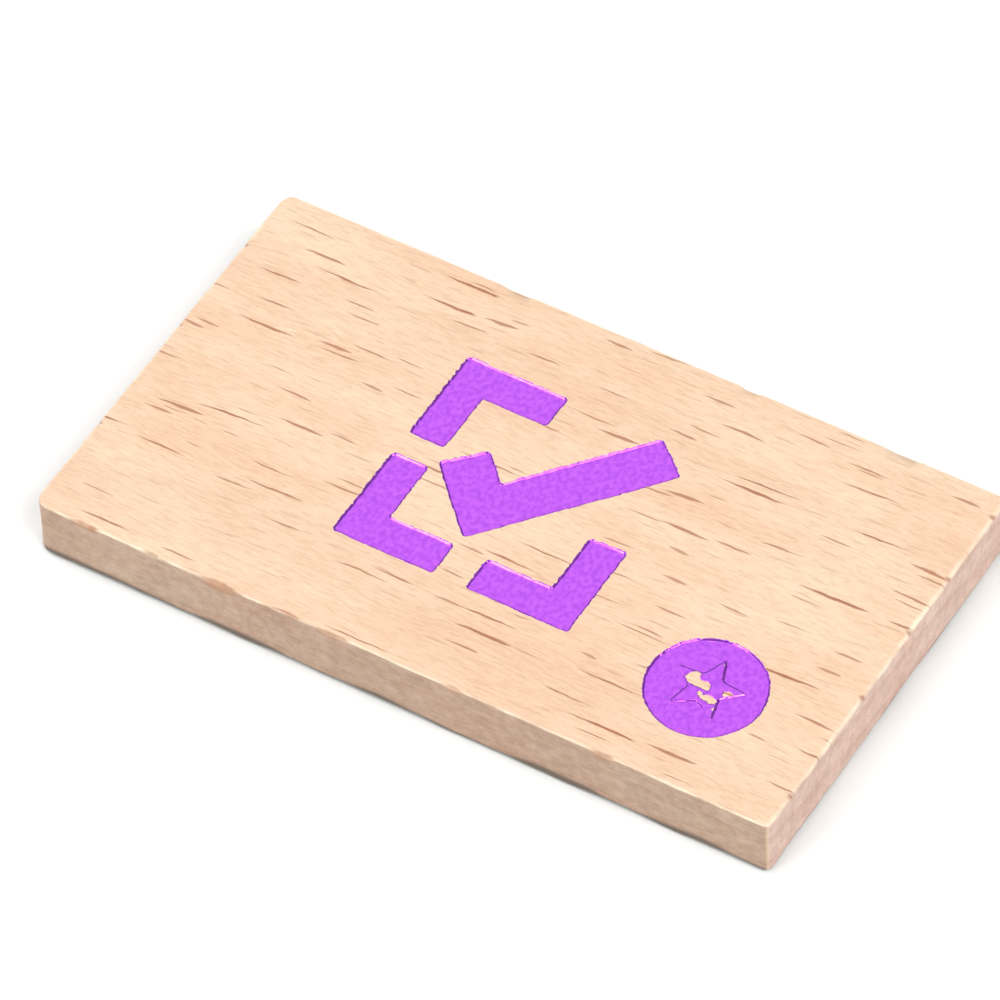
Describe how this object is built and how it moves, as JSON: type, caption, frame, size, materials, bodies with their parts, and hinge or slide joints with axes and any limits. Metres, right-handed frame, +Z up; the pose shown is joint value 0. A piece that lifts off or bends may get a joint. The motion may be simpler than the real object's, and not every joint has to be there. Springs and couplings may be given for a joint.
{
  "type": "wooden game token",
  "caption": "Thin rectangular beech game token with a debossed, foil-stamped bracket-and-tick mark and a round foil badge near one corner.",
  "frame": {"origin": "centre of the underside, on the table", "axes": "+X along the token to the right as the mark reads, +Y towards the top of the mark, +Z up out of the stamped face"},
  "size_m": [0.035, 0.02, 0.003],
  "materials": {
    "beech": "raw sanded beech, unvarnished, matt",
    "purple_foil": "metallised violet transfer foil, pressed into the grain"
  },
  "bodies": {
    "root": {"wooden_blank": "beech", "foil_bracket_upper_left": "purple_foil", "foil_bracket_lower_left": "purple_foil", "foil_bracket_lower_right": "purple_foil", "foil_tick": "purple_foil", "foil_badge": "purple_foil"}
  },
  "joints": []
}
